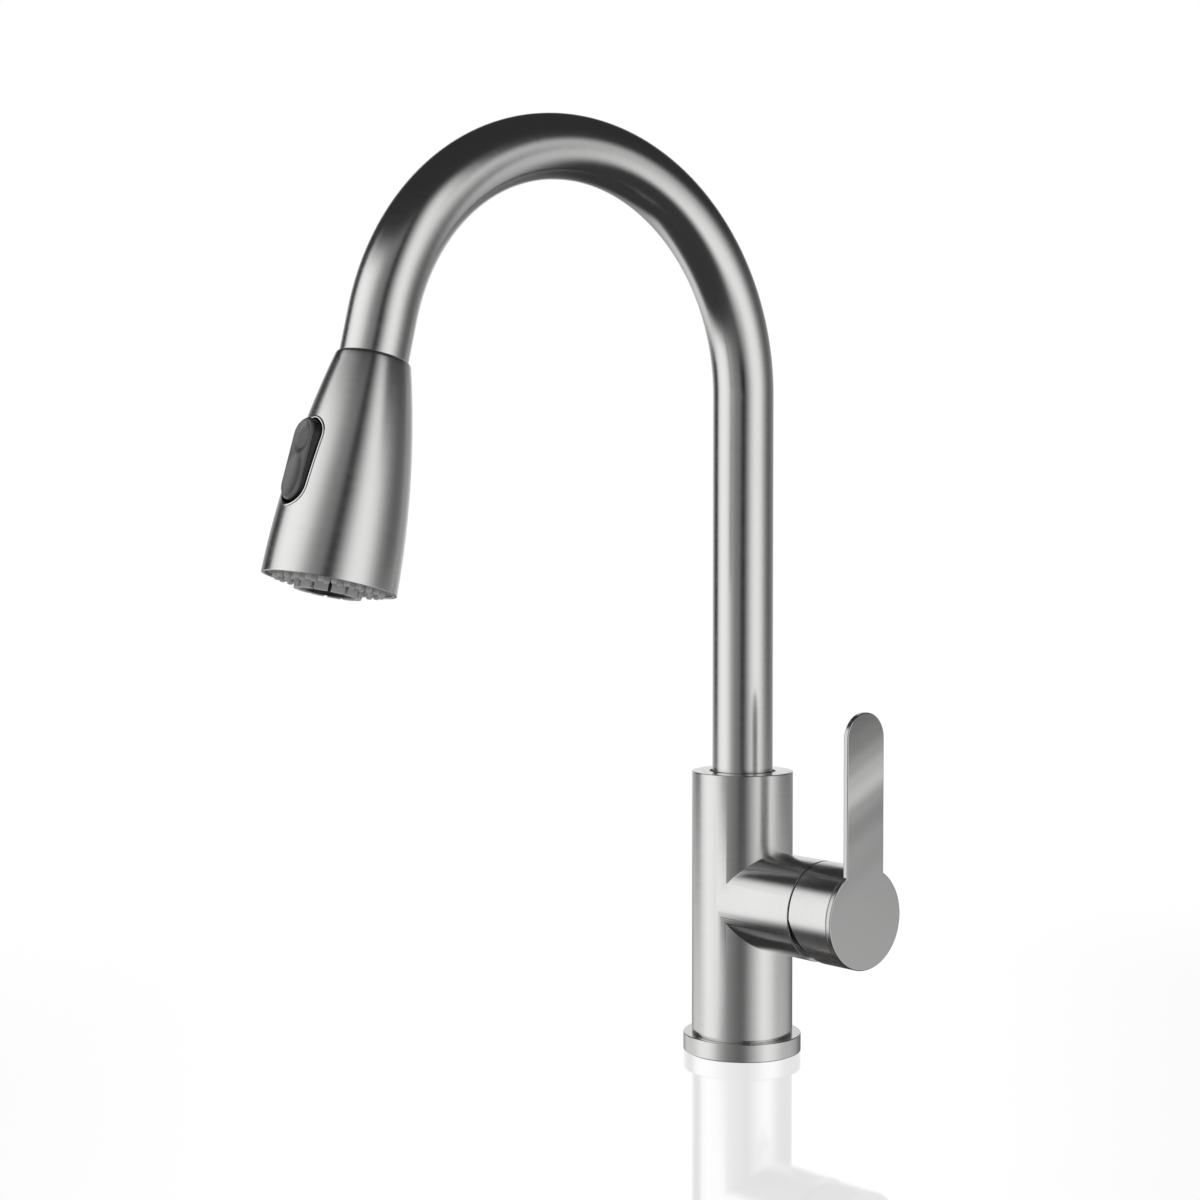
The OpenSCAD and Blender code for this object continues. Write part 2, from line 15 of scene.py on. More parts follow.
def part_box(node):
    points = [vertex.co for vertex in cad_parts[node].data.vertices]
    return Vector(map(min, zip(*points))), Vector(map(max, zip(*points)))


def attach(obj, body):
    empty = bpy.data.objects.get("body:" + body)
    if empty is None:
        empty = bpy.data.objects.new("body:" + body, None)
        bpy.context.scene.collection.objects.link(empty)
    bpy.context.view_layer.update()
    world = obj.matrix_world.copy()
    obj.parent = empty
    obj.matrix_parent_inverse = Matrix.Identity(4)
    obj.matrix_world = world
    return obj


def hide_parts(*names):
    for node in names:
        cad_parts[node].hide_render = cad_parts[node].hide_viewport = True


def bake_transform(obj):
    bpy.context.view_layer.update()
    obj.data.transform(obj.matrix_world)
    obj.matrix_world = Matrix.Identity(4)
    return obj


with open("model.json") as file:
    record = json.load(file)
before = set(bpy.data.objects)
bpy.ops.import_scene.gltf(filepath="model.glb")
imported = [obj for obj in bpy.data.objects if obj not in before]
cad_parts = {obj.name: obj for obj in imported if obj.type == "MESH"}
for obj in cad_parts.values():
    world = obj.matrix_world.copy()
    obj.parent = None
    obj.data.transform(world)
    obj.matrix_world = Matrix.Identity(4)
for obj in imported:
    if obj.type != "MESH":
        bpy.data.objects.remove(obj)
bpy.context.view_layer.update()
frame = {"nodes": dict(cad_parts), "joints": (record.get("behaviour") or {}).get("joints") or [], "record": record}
joints = {j["name"]: j for j in frame["joints"]}

MM = 0.001
TAU = 2 * math.pi
SCALE = Matrix.Scale(MM, 4)
X_AXIS = Vector((1, 0, 0))


# ---- Camera ----

CAMERA_TURN = math.radians(49.87)  # round the column, from the front towards the lever
CAMERA_PITCH = math.radians(-1.84)
CAMERA_AWAY = 0.95111
CAMERA_SIDE = -0.06649
CAMERA_HEIGHT = 0.24067
TO_CAMERA = Vector((math.sin(CAMERA_TURN), -math.cos(CAMERA_TURN), 0))
CAMERA_RIGHT = Vector((math.cos(CAMERA_TURN), math.sin(CAMERA_TURN), 0))


def make_camera():
    data = bpy.data.cameras.new("camera")
    data.sensor_width = 36
    data.lens = 61.35
    camera = bpy.data.objects.new("camera", data)
    bpy.context.scene.collection.objects.link(camera)
    camera.location = TO_CAMERA * CAMERA_AWAY + CAMERA_RIGHT * CAMERA_SIDE
    camera.location.z = CAMERA_HEIGHT
    look = -TO_CAMERA * math.cos(CAMERA_PITCH)
    look.z = math.sin(CAMERA_PITCH)
    camera.rotation_mode = "QUATERNION"
    camera.rotation_quaternion = look.to_track_quat("-Z", "Y")
    bpy.context.scene.camera = camera


# ---- Shader helpers ----


def add(tree, kind, inputs=None, **settings):
    """A new node. Each input takes a value or another node's socket."""
    made = tree.nodes.new(kind)
    for key, value in settings.items():
        setattr(made, key, value)
    for key, value in (inputs or {}).items():
        if isinstance(value, bpy.types.NodeSocket):
            tree.links.new(value, made.inputs[key])
        else:
            made.inputs[key].default_value = value
    return made


def math_node(tree, operation, *values):
    return add(tree, "ShaderNodeMath", dict(enumerate(values)), operation=operation).outputs[0]


def smooth_range(tree, value, low, high, to_low=0.0, to_high=1.0):
    inputs = {0: value, 1: low, 2: high, 3: to_low, 4: to_high}
    return add(tree, "ShaderNodeMapRange", inputs, interpolation_type="SMOOTHSTEP").outputs[0]


def dot(tree, first, second):
    inputs = {0: first, 1: second}
    return add(tree, "ShaderNodeVectorMath", inputs, operation="DOT_PRODUCT").outputs["Value"]


def ramp(tree, factor, stops, interpolation="LINEAR"):
    """A colour ramp; each stop is its place from 0 to 1, then one value or all four channels."""
    made = add(tree, "ShaderNodeValToRGB", {0: factor})
    made.color_ramp.interpolation = interpolation
    elements = made.color_ramp.elements
    while len(elements) < len(stops):
        elements.new(0.5)
    for element, (place, *values) in zip(elements, stops):
        element.position = place
        element.color = values * 3 + [1] if len(values) == 1 else values
    return made


def noise(tree, coordinates, scale, detail=3.0):
    """Noise with its own scale along each axis of the coordinates."""
    mapping = add(tree, "ShaderNodeMapping", {"Vector": coordinates, "Scale": scale})
    inputs = {"Vector": mapping.outputs[0], "Scale": 1.0, "Detail": detail, "Roughness": 0.6}
    return add(tree, "ShaderNodeTexNoise", inputs).outputs[0]


def shader(name, roughness, **sockets):
    """A material with its Principled node; sockets gives uniform values by socket name."""
    material = bpy.data.materials.new(name)
    material.use_nodes = True
    tree = material.node_tree
    surface = tree.nodes["Principled BSDF"]
    surface.inputs["Roughness"].default_value = roughness
    for key, value in sockets.items():
        surface.inputs[key.replace("_", " ")].default_value = value
    return material, tree, surface


def paint(tree, surface, factor, dark, light):
    """Colour that wanders between two tones."""
    tones = add(tree, "ShaderNodeMix", {0: factor, 6: (*dark, 1), 7: (*light, 1)},
                data_type="RGBA")
    tree.links.new(tones.outputs[2], surface.inputs["Base Color"])


def rough_between(tree, surface, factor, low, high):
    spread = add(tree, "ShaderNodeMapRange", {0: factor, 1: 0.3, 2: 0.7, 3: low, 4: high})
    tree.links.new(spread.outputs[0], surface.inputs["Roughness"])


def bump(tree, surface, height, depth):
    """Bump whose height socket goes from 0 to 1, depth metres deep."""
    made = add(tree, "ShaderNodeBump", {"Height": height, "Distance": depth, "Strength": 1.0})
    tree.links.new(made.outputs[0], surface.inputs["Normal"])


def coordinates(tree, kind):
    return add(tree, "ShaderNodeTexCoord").outputs[kind]


def grained(name, kind, fine, coarse, tones, roughness, depth, **sockets):
    """Metal or plastic with a directional grain: fine and coarse are the two noises' scales."""
    material, tree, surface = shader(name, roughness[0], **sockets)
    place = coordinates(tree, kind)
    streaks = noise(tree, place, fine, 4.0)
    clouds = noise(tree, place, coarse, 2.0)
    both = math_node(tree, "ADD", math_node(tree, "MULTIPLY", streaks, 0.65),
                     math_node(tree, "MULTIPLY", clouds, 0.35))
    paint(tree, surface, both, *tones)
    rough_between(tree, surface, both, *roughness)
    bump(tree, surface, streaks, depth)
    return material


def rolled(material, along, turned_way, stops):
    """Turns a plate's normals a little; stops hold metres along a direction and the slope."""
    tree = material.node_tree
    surface = tree.nodes["Principled BSDF"]
    place = dot(tree, coordinates(tree, "Object"), along)
    start, end = stops[0][0], stops[-1][0]
    share = add(tree, "ShaderNodeMapRange", {0: place, 1: start, 2: end, 3: 0, 4: 1}).outputs[0]
    slopes = ramp(tree, share, [((where - start) / (end - start), 0.5 + slope)
                                for where, slope in stops], "EASE")
    slope = math_node(tree, "SUBTRACT", slopes.outputs[0], 0.5)
    lean = add(tree, "ShaderNodeVectorMath", {0: turned_way, "Scale": slope},
               operation="SCALE").outputs[0]
    in_scene = add(tree, "ShaderNodeVectorTransform", {0: lean}, vector_type="VECTOR",
                   convert_from="OBJECT", convert_to="WORLD").outputs[0]
    grain = surface.inputs["Normal"].links[0].from_node
    normal = add(tree, "ShaderNodeNewGeometry").outputs["Normal"]
    leaning = add(tree, "ShaderNodeVectorMath", {0: normal, 1: in_scene}, operation="ADD")
    made = add(tree, "ShaderNodeVectorMath", {0: leaning.outputs[0]}, operation="NORMALIZE")
    tree.links.new(made.outputs[0], grain.inputs["Normal"])


def braided(name, along_axis=None):
    """Braid over a hose. UV holds metres along and round; along_axis reads them from position."""
    pitch = 0.0042
    strands = 16
    material, tree, surface = shader(name, 0.55, Sheen_Weight=0.15)
    if along_axis:
        start, axis, side, up = along_axis
        point = add(tree, "ShaderNodeVectorMath", {0: coordinates(tree, "Object"), 1: start},
                    operation="SUBTRACT").outputs[0]
        along, across, over = [dot(tree, point, way) for way in (axis, side, up)]
        turn = math_node(tree, "ARCTAN2", across, over)
    else:
        split = add(tree, "ShaderNodeSeparateXYZ", {0: coordinates(tree, "UV")})
        along = split.outputs[0]
        turn = math_node(tree, "DIVIDE", split.outputs[1], HOSE_R * MM)
    advance = math_node(tree, "MULTIPLY", along, TAU / pitch)
    wound = math_node(tree, "MULTIPLY", turn, strands / 2)
    waves = [math_node(tree, "SINE", math_node(tree, way, advance, wound))
             for way in ("ADD", "SUBTRACT")]
    over_under = math_node(tree, "MAXIMUM", math_node(tree, "ABSOLUTE", waves[0]),
                           math_node(tree, "ABSOLUTE", waves[1]))
    paint(tree, surface, over_under, (0.02, 0.02, 0.022), (0.34, 0.34, 0.35))
    rough_between(tree, surface, noise(tree, coordinates(tree, "Object"), (900, 900, 900)),
                  0.45, 0.65)
    bump(tree, surface, over_under, 0.0003)
    return material


# ---- Mesh helpers ----


def fillet(points, radius, steps=4, closed=True):
    """Rounds the corners of an outline. A point may carry its own radius as a third value."""
    made = []
    count = len(points)
    for i, point in enumerate(points):
        here = Vector(point[:2])
        r = point[2] if len(point) > 2 else radius
        if r <= 0 or (not closed and i in (0, count - 1)):
            made.append(here)
            continue
        before = Vector(points[i - 1][:2]) - here
        after = Vector(points[(i + 1) % count][:2]) - here
        reach = min(r, before.length * 0.45, after.length * 0.45)
        a = here + before.normalized() * reach
        b = here + after.normalized() * reach
        for k in range(steps + 1):
            t = k / steps
            made.append(a * (1 - t) ** 2 + here * 2 * t * (1 - t) + b * t ** 2)
    return made


def divided(points, step, closed=True):
    """Adds points so that no stretch of the outline is longer than step."""
    made = []
    ends = points[1:] + points[:1] if closed else points[1:]
    for a, b in zip(points, ends):
        pieces = max(1, math.ceil((b - a).length / step))
        made += [a.lerp(b, k / pieces) for k in range(pieces)]
    return made if closed else made + [points[-1]]


def straight(place):
    """A path along a place's own Z axis: distance to centre and two side directions."""
    side, ahead = place.to_3x3() @ Vector((1, 0, 0)), place.to_3x3() @ Vector((0, 1, 0))
    return lambda z: (place @ Vector((0, 0, z)), side, ahead)


def mesh_object(name, points, faces, corners=None, merge=0.0):
    """An object from points in metres. corners gives each face's UVs."""
    mesh = bpy.data.meshes.new(name)
    mesh.from_pydata(points, [], faces)
    if corners:
        layer = mesh.uv_layers.new(name="grain")
        flat = [value for face in corners for corner in face for value in corner]
        layer.data.foreach_set("uv", flat)
    shape = bmesh.new()
    shape.from_mesh(mesh)
    if merge:
        bmesh.ops.remove_doubles(shape, verts=shape.verts, dist=merge)
        bmesh.ops.dissolve_degenerate(shape, edges=shape.edges, dist=merge)
    bmesh.ops.recalc_face_normals(shape, faces=shape.faces)
    shape.to_mesh(mesh)
    shape.free()
    made = bpy.data.objects.new(name, mesh)
    bpy.context.scene.collection.objects.link(made)
    return made


def turned(name, profile, path, steps=128, closed=True, wave=None):
    """Turns a profile of [radius, distance] about a path. wave changes a radius by its turn."""
    points, rings, lengths = [], [], [0.0]
    for i, (r, z) in enumerate(profile):
        centre, side, ahead = path(z)
        ring = len(points)
        if r < 1e-6:
            points.append(centre)
            rings.append([ring] * steps)
        else:
            for k in range(steps):
                turn = TAU * k / steps
                reach = wave(r, z, turn) if wave else r
                points.append(centre + (side * math.cos(turn) + ahead * math.sin(turn)) * reach)
            rings.append(range(ring, ring + steps))
        if i:
            lengths.append(lengths[-1] + (profile[i] - profile[i - 1]).length)
    around = max(r for r, z in profile) * TAU / steps * MM
    faces, corners = [], []
    last = len(profile)
    for i in range(last if closed else last - 1):
        a, b = rings[i], rings[(i + 1) % last]
        low = lengths[i] * MM
        high = (lengths[i + 1] if i + 1 < last else lengths[i] + 1) * MM
        for k in range(steps):
            n = (k + 1) % steps
            face = [a[k], a[n], b[n], b[k]]
            uv = [(low, k * around), (low, (k + 1) * around),
                  (high, (k + 1) * around), (high, k * around)]
            keep = [j for j in range(4) if face[j] != face[j - 1]]
            if len(keep) > 2:
                faces.append([face[j] for j in keep])
                corners.append([uv[j] for j in keep])
    return mesh_object(name, points, faces, corners)


def dressed(made, body, material, nodes=(), sharp=35):
    """Shades a piece, gives it its finish and puts it on its body."""
    mesh = made.data
    mesh.shade_smooth()
    mesh.set_sharp_from_angle(angle=math.radians(sharp))
    mesh.materials.clear()
    mesh.materials.append(material)
    normals = made.modifiers.new("normals", "WEIGHTED_NORMAL")
    normals.keep_sharp = True
    normals.weight = 50
    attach(made, body)
    if nodes:
        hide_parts(*nodes)
    return made


def combined(made, other, operation):
    """Applies a boolean with another object, which is used up."""
    cutter = made.modifiers.new("cut", "BOOLEAN")
    cutter.operation = operation
    cutter.solver = "EXACT"
    cutter.object = other
    bpy.context.view_layer.update()
    result = bpy.data.meshes.new_from_object(
        made.evaluated_get(bpy.context.evaluated_depsgraph_get()))
    made.modifiers.clear()
    made.data = result
    bpy.data.objects.remove(other)
    return made


def rounded(made, width, segments):
    """Rounds a piece's sharp edges; width is in millimetres."""
    rounding = made.modifiers.new("rounding", "BEVEL")
    rounding.width = width * MM
    rounding.segments = segments
    rounding.limit_method = "ANGLE"
    rounding.angle_limit = math.radians(60)


def points_2d(*pairs):
    return [Vector(p) for p in pairs]


def arc(centre, radius, start, end, steps):
    """Points of an arc in the plane, with angles in degrees."""
    turns = [math.radians(start + (end - start) * k / steps) for k in range(steps + 1)]
    return [Vector((centre[0] + radius * math.cos(t), centre[1] + radius * math.sin(t)))
            for t in turns]


# ---- Places and sizes, from the frame ----

head_axis = Vector(joints["spray_pull"]["axis"])
forward = head_axis.cross(X_AXIS)
BUTTON_S, BUTTON_Y = 48.2, 17.0
rocker_pivot = Vector(joints["spray_rocker"]["pos_m"])
seam = rocker_pivot - (head_axis * BUTTON_S + forward * BUTTON_Y) * MM
lever_axis = Vector(joints["lever_turn"]["pos_m"])


def placed(origin, x, y, z):
    turn = Matrix((x, y, z)).transposed().to_4x4()
    return Matrix.Translation(origin) @ turn @ SCALE


UPRIGHT = SCALE
VALVE = placed((0, 0, lever_axis.z), (0, 0, -1), (0, 1, 0), (1, 0, 0))
HEAD = placed(seam, X_AXIS, forward, head_axis)
BUTTON_TILT = math.radians(3.2)
BUTTON = (HEAD @ Matrix.Translation((0, BUTTON_Y, BUTTON_S))
          @ Matrix.Rotation(-BUTTON_TILT, 4, "X"))

tube_low, tube_high = (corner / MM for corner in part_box("spout_tube"))
TUBE_R = tube_high.x
TUBE_WALL = 1.2
ARC_R = 101.8
ARC_Z = tube_high.z - ARC_R - TUBE_R
ARC_SWEEP = math.atan2(-head_axis.y, head_axis.z)
TIP_LEN = 18.2
body_low, body_high = (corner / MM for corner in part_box("body"))
BODY_R = -body_low.x
BODY_TOP = body_high.z
HOUSING_X = body_high.x
ring_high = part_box("base_ring")[1] / MM
RING_R, RING_H = ring_high.x, ring_high.z
hub_low, hub_high = (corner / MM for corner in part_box("handle_hub"))
HOUSING_R = hub_high.y
HUB_X, PLATE_X = hub_low.x, hub_high.x
lever_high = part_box("lever_plate")[1] / MM
HANDLE_Z = lever_axis.z / MM
PIVOT_X = lever_axis.x / MM
LEVER_R = 11.7
HOSE_R = 5.75
HEAD_LEN = 92.6
HEAD_TOP_R, HEAD_END_R, HEAD_BULGE = 15.05, 27.05, 2.75
SHELL_WALL = 1.6
OPENING_LEN, OPENING_W = 36.7, 16.4


def shell_r(s):
    u = s / HEAD_LEN
    return HEAD_TOP_R + (HEAD_END_R - HEAD_TOP_R) * u + 4 * HEAD_BULGE * u * (1 - u)


def gooseneck(from_z):
    """The spout's centreline, by distance from a height on its upright leg."""
    rise = ARC_Z - from_z
    bend = ARC_R * ARC_SWEEP

    def path(z):
        if z <= rise:
            at, turn = Vector((0, 0, from_z + z)), 0.0
        else:
            turn = min((z - rise) / ARC_R, ARC_SWEEP)
            at = Vector((0, ARC_R * (math.cos(turn) - 1), ARC_Z + ARC_R * math.sin(turn)))
            past = max(0.0, z - rise - bend)
            at += Vector((0, -math.sin(turn), math.cos(turn))) * past
        across = Vector((0, math.cos(turn), math.sin(turn)))
        return at * MM, X_AXIS * MM, across * MM

    return path, rise + bend + TIP_LEN


# ---- Materials ----

STEEL = dict(Metallic=1.0, Anisotropic=0.55)
brushed = grained("brushed_steel", "UV", (5200, 55, 1), (350, 30, 1),
                  ((0.66, 0.655, 0.65), (0.80, 0.795, 0.79)), (0.17, 0.24), 0.0000025, **STEEL)
# Steel for the shell opening's lip: its lower roughness is a real polish, and its lighter tone than the brushed
# shell is a painted highlight along the edge.
polished_and_highlight = grained("polished_edge_and_highlight", "Object", (900, 900, 900), (60, 60, 60),
                   ((0.86, 0.86, 0.86), (0.93, 0.93, 0.93)), (0.10, 0.16), 0.000001,
                   Metallic=1.0)
satin = grained("satin_plate", "Object", (60, 60, 3000), (30, 30, 90),
                ((0.60, 0.595, 0.59), (0.72, 0.715, 0.71)), (0.27, 0.35), 0.000003,
                Metallic=1.0)
lever_satin = grained("lever_plate_steel", "Object", (60, 60, 3000), (30, 30, 90),
                      ((0.58, 0.575, 0.57), (0.63, 0.625, 0.62)), (0.21, 0.26), 0.000001,
                      Metallic=1.0)
rolled(lever_satin, (0, -0.438, 0.899), (0, -1, 0),
       [(0.078, 0.02), (0.086, -0.02), (0.095, 0.01), (0.103, -0.06), (0.110, 0.03),
        (0.117, 0.17), (0.123, 0.12), (0.129, 0.04), (0.136, -0.05), (0.146, -0.13)])
machined = grained("machined_steel", "Object", (200, 200, 3500), (90, 90, 200),
                   ((0.50, 0.50, 0.51), (0.68, 0.68, 0.69)), (0.22, 0.38), 0.000006,
                   Metallic=1.0)
brass = grained("machined_brass", "Object", (200, 200, 3500), (120, 120, 120),
                ((0.66, 0.45, 0.18), (0.86, 0.65, 0.32)), (0.20, 0.38), 0.000006,
                Metallic=1.0)
black = grained("black_plastic", "Object", (1800, 1800, 1800), (150, 150, 150),
                ((0.010, 0.010, 0.011), (0.024, 0.024, 0.026)), (0.36, 0.5), 0.00002)
# Grey for the rocker's face, lighter than the near-black given to its side walls though both are one plastic:
# painted light on the face.
button_dark = grained("button_plastic", "Object", (2200, 2200, 2200), (120, 120, 120),
                      ((0.085, 0.085, 0.085), (0.115, 0.115, 0.115)), (0.26, 0.34), 0.00001,
                      IOR=1.9)
pale = grained("pale_plastic", "Object", (1200, 1200, 1200), (90, 90, 90),
               ((0.09, 0.09, 0.09), (0.16, 0.16, 0.16)), (0.35, 0.5), 0.00002)
nub_rubber = grained("nozzle_rubber", "Object", (1500, 1500, 1500), (200, 200, 200),
                     ((0.30, 0.30, 0.30), (0.42, 0.42, 0.42)), (0.25, 0.4), 0.00002)
rubber = grained("black_rubber", "Object", (1400, 1400, 1400), (150, 150, 150),
                 ((0.010, 0.010, 0.010), (0.030, 0.030, 0.030)), (0.6, 0.8), 0.00004)
ceramic = grained("ceramic", "Object", (800, 800, 800), (90, 90, 90),
                  ((0.80, 0.79, 0.75), (0.90, 0.89, 0.86)), (0.18, 0.3), 0.000004)
hose_skin = braided("hose_braid")
hose_end_skin = braided("hose_end_braid", (seam, head_axis, X_AXIS, forward))

BY_SLOT = {
    "brushed_metal": satin, "lever_metal": lever_satin, "plain_steel": machined, "brass": brass,
    "black_plastic": black, "button_plastic": button_dark, "grey_plastic": pale,
    "nozzle_rubber": nub_rubber, "black_rubber": rubber, "ceramic": ceramic,
    "hose_nylon": rubber,
}


def finish_cad_nodes():
    """Gives every CAD node its slot's material, seen on those that nothing replaces."""
    for part in frame["record"]["subparts"]:
        mesh = frame["nodes"][part["node"]].data
        mesh.materials.clear()
        mesh.materials.append(BY_SLOT[part["material_slot"]])


# ---- Column ----


def make_base_ring():
    profile = fillet([(RING_R, 0), (RING_R, RING_H), (17, RING_H, 0), (17, 2, 0),
                      (RING_R - 1.8, 2, 0), (RING_R - 1.8, 0, 0.2)], 0.45)
    dressed(turned("base_ring_skin", profile, straight(UPRIGHT)),
            "faucet_body", brushed, ["base_ring"])


def make_body():
    bore = 15.4
    wall = 2.45
    groove = 0.5
    column = turned("body_skin", fillet([
        (BODY_R - 0.9, RING_H), (BODY_R - 0.9, RING_H + groove, 0),
        (BODY_R, RING_H + groove, 0.2), (BODY_R, BODY_TOP, 0.55),
        (bore, BODY_TOP, 0.25), (bore, BODY_TOP - 4, 0), (BODY_R - wall, BODY_TOP - 4, 0),
        (BODY_R - wall, RING_H, 0)], 0.0), straight(UPRIGHT), steps=192)
    housing = turned("housing", fillet([
        (0, 0, 0), (HOUSING_R, 0, 0), (HOUSING_R, HOUSING_X, 0.4), (20, HOUSING_X, 0.2),
        (20, HOUSING_X - 3, 0), (0, HOUSING_X - 3, 0)], 0.0, closed=False),
        straight(VALVE), steps=192, closed=False)
    combined(column, housing, "UNION")
    dressed(column, "faucet_body", brushed, ["body"])


def make_top_bushing():
    profile = fillet([(TUBE_R + 0.05, BODY_TOP - 6), (TUBE_R + 1.35, BODY_TOP - 6),
                      (TUBE_R + 1.35, BODY_TOP - 0.5), (TUBE_R + 0.05, BODY_TOP - 0.5)], 0.2)
    dressed(turned("top_bushing_skin", profile, straight(UPRIGHT)),
            "faucet_body", black, ["top_bushing"])


# ---- Below the deck ----

THREAD_PITCH, THREAD_DEPTH = 1.5, 0.8
PIPE_X, HOSE_X = 9.5, -8.5


def make_shank():
    shank_r, bore, bottom, thread_top = 16.5, 14.6, -62.0, -20.0

    def screw(r, z, turn):
        if r < shank_r - 0.01 or z > thread_top:
            return r
        phase = (z / THREAD_PITCH + turn / TAU) % 1
        fade = min(1, (thread_top - z) / THREAD_PITCH, (z - bottom) / THREAD_PITCH + 0.2)
        return r - THREAD_DEPTH * fade * (1 - abs(2 * phase - 1))

    outside = points_2d((shank_r, RING_H), (shank_r, thread_top))
    rings = int((thread_top - bottom - 0.5) / THREAD_PITCH * 8)
    threads = [Vector((shank_r, thread_top - 0.1 - i * THREAD_PITCH / 8)) for i in range(rings)]
    inside = fillet([(shank_r - 1.2, bottom), (bore, bottom), (bore, RING_H)], 0.3)
    dressed(turned("shank_skin", outside + threads + inside, straight(UPRIGHT), wave=screw),
            "faucet_body", brass, ["shank"])


def make_deck_clamp():
    seats = {
        "rubber_washer": (16.9, 27, -33, -30, 0.5, "black_rubber", rubber),
        "steel_washer": (16.8, 27, -34.6, -33.02, 0.3, "plain_steel", machined),
    }
    for node, (inner, outer, low, high, edge, slot, material) in seats.items():
        profile = fillet([(inner, low), (outer, low), (outer, high), (inner, high)], edge)
        dressed(turned(node + "_skin", profile, straight(UPRIGHT)),
                "faucet_body", material, [node])


def make_mounting_nut():
    top, low, bore = -34.7, -44.7, 16.55
    blank = fillet([(bore, top), (25.5, top, 0.4), (25.5, top - 3, 0.4), (23.8, top - 3.2, 0),
                    (23.8, low + 1.6, 0.3), (22.2, low, 0.3), (bore + 0.8, low, 0.2),
                    (bore, low + 0.8, 0.2)], 0.2)
    nut = turned("mounting_nut_skin", blank, straight(UPRIGHT))
    flats = turned("flats", points_2d((0, low - 2), (24, low - 2), (24, top - 3.1), (30, top - 3.1),
                                      (30, top + 2), (0, top + 2)),
                   straight(UPRIGHT), steps=6, closed=False)
    combined(nut, flats, "INTERSECT")
    for side in (-1, 1):
        hole = turned("hole", points_2d((0, low - 2), (2.1, low - 2), (2.1, top + 2), (0, top + 2)),
                      straight(UPRIGHT @ Matrix.Translation((side * 20.6, 0, 0))), steps=32,
                      closed=False)
        combined(nut, hole, "DIFFERENCE")
    dressed(nut, "faucet_body", brass, ["mounting_nut"])


def make_couplings():
    coupling_z = -84
    pipe = Matrix.Translation((PIPE_X, 0, coupling_z))
    hose = Matrix.Translation((HOSE_X, 0, coupling_z))
    nipple = fillet([(4.05, 0), (7, 0), (7, -5.4), (6.4, -6), (5, -6, 0.1), (5, -15.8, 0.1),
                     (3.9, -15.8, 0.1), (3.9, -18, 0.1), (5, -18, 0.1), (5, -19.5), (4.5, -20),
                     (3, -20), (3, -5.2, 0), (4.05, -5.2, 0)], 0.25)
    dressed(turned("outlet_nipple_skin", nipple, straight(UPRIGHT @ pipe), steps=64),
            "faucet_body", brass, ["outlet_nipple"])
    grip = [(7.4 + 0.25 * (i % 2), -1.5 - i * 0.9, 0.1) for i in range(15)]
    coupler = fillet([(5.8, 0), (6.9, 0), *grip, (7.4, -15, 0.2), (8, -15.5), (8, -19),
                      (7.4, -19.5), (7.4, -22), (5.2, -22), (5.2, -8, 0), (4, -8, 0),
                      (4, -6.2, 0), (5.8, -6.2, 0)], 0.3)
    dressed(turned("hose_coupler_skin", coupler, straight(UPRIGHT @ hose), steps=64),
            "faucet_body", black, ["hose_coupler"])


# ---- Handle ----


def make_hub():
    hub = turned("handle_hub_skin", fillet([
        (0, HUB_X, 0), (HOUSING_R, HUB_X, 0.4), (HOUSING_R, PLATE_X, 0.3), (0, PLATE_X, 0)],
        0.0, closed=False), straight(VALVE), steps=192, closed=False)
    cavity_r = 22.3
    ball = turned("cavity", [Vector((max(0.0, -p.x), p.y)) for p in
                             arc((0, PIVOT_X), cavity_r, 270, 90, 48)],
                  straight(VALVE), closed=False)
    combined(hub, ball, "DIFFERENCE")
    relief = math.radians(18)
    screw_x = 69
    size = 60
    block = bmesh.new()
    bmesh.ops.create_cube(block, size=size)
    mesh = bpy.data.meshes.new("relief")
    block.to_mesh(mesh)
    block.free()
    wedge = bpy.data.objects.new("relief", mesh)
    bpy.context.scene.collection.objects.link(wedge)
    wedge.matrix_world = (UPRIGHT @ Matrix.Translation((HUB_X, 0, HANDLE_Z))
                          @ Matrix.Rotation(-relief, 4, "Y")
                          @ Matrix.Translation((-size / 2, 0, -size / 2)))
    combined(hub, wedge, "DIFFERENCE")
    hole = turned("hole", points_2d((0, HANDLE_Z - 30), (2.45, HANDLE_Z - 30),
                                    (2.45, HANDLE_Z - 4), (0, HANDLE_Z - 4)),
                  straight(UPRIGHT @ Matrix.Translation((screw_x, 0, 0))), steps=48, closed=False)
    combined(hub, hole, "DIFFERENCE")
    dressed(hub, "lever", brushed, ["handle_hub"])


def make_lever():
    """One flat plate: a disc with the lever rising from it, its edges rounded all round."""
    tip_z = lever_high.z - HANDLE_Z - LEVER_R
    corner = math.degrees(math.acos(LEVER_R / HOUSING_R))
    outline = arc((0, 0), HOUSING_R, 180 - corner, 360 + corner, 96)[:-1]
    outline += [Vector((LEVER_R, HOUSING_R * math.sin(math.radians(corner))))]
    outline += divided([outline[-1], Vector((LEVER_R, tip_z))], 4, closed=False)[1:-1]
    outline += arc((0, tip_z), LEVER_R, 0, 180, 48)
    outline += divided([Vector((-LEVER_R, tip_z)), outline[0]], 4, closed=False)[1:-1]
    count = len(outline)
    points = [Vector((x, p.x, HANDLE_Z + p.y)) * MM
              for x in (PLATE_X, lever_high.x) for p in outline]
    faces = [list(range(count)), list(range(count, 2 * count))]
    faces += [[k, (k + 1) % count, count + (k + 1) % count, count + k] for k in range(count)]
    plate = mesh_object("lever_plate_skin", points, faces)
    rounded(plate, 0.45, 4)
    dressed(plate, "lever", lever_satin, ["lever_plate"])


# ---- Spout ----


def make_spout():
    path, length = gooseneck(tube_low.z)
    inner = TUBE_R - TUBE_WALL
    wall = fillet([(inner, 0), (TUBE_R, 0), (TUBE_R, length), (inner, length)], 0.35)
    profile = divided(wall, 2.0)
    dressed(turned("spout_tube_skin", profile, path, steps=128),
            "spout", brushed, ["spout_tube"])


